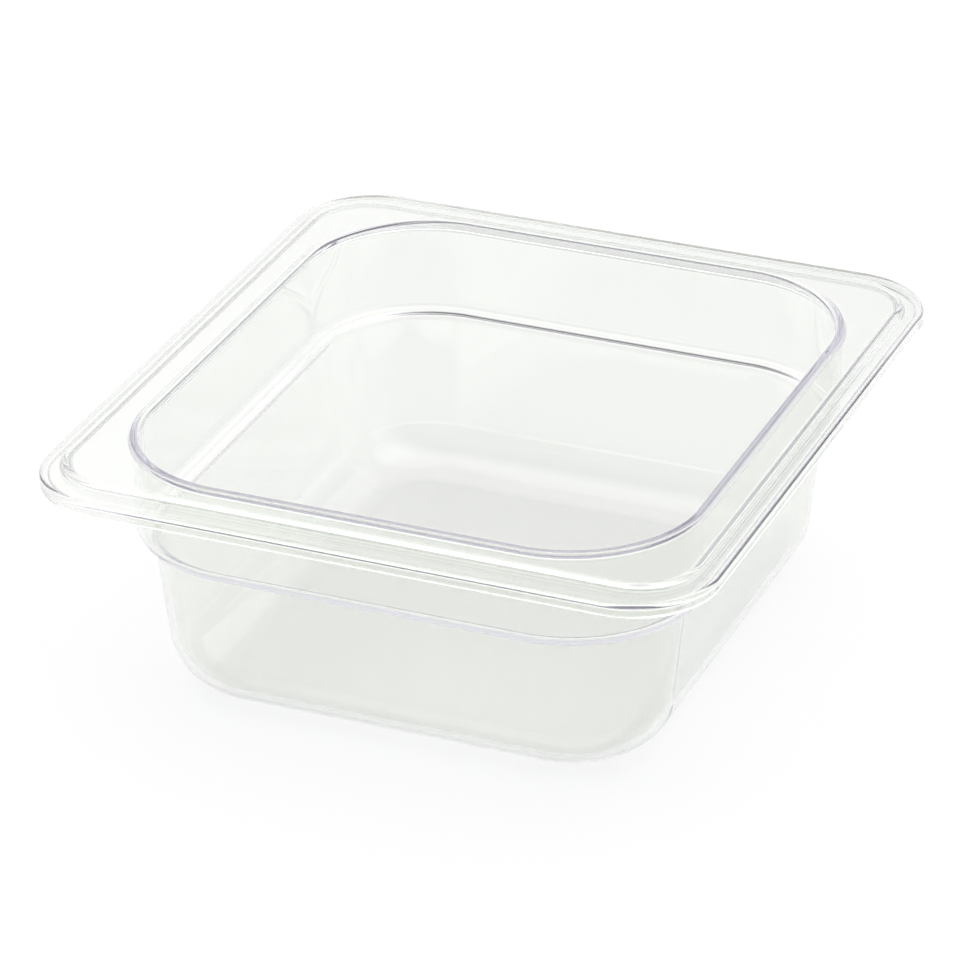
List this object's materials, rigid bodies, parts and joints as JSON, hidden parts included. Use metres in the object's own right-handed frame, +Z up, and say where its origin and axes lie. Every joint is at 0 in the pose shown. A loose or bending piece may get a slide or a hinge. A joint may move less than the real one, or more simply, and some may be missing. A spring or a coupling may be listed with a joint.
{
  "type": "food pan",
  "caption": "Clear plastic sixth-size food pan with a stepped hanging rim, beaded opening, stacking shoulder and tapered walls.",
  "frame": {"origin": "centre of the underside of the base", "axes": "+Z up, +Y along the longer side of the rim, +X along the shorter side"},
  "size_m": [0.162, 0.176, 0.0635],
  "materials": {
    "clear_plastic": "clear polished polycarbonate"
  },
  "bodies": {
    "root": {"pan": "clear_plastic"}
  },
  "joints": []
}
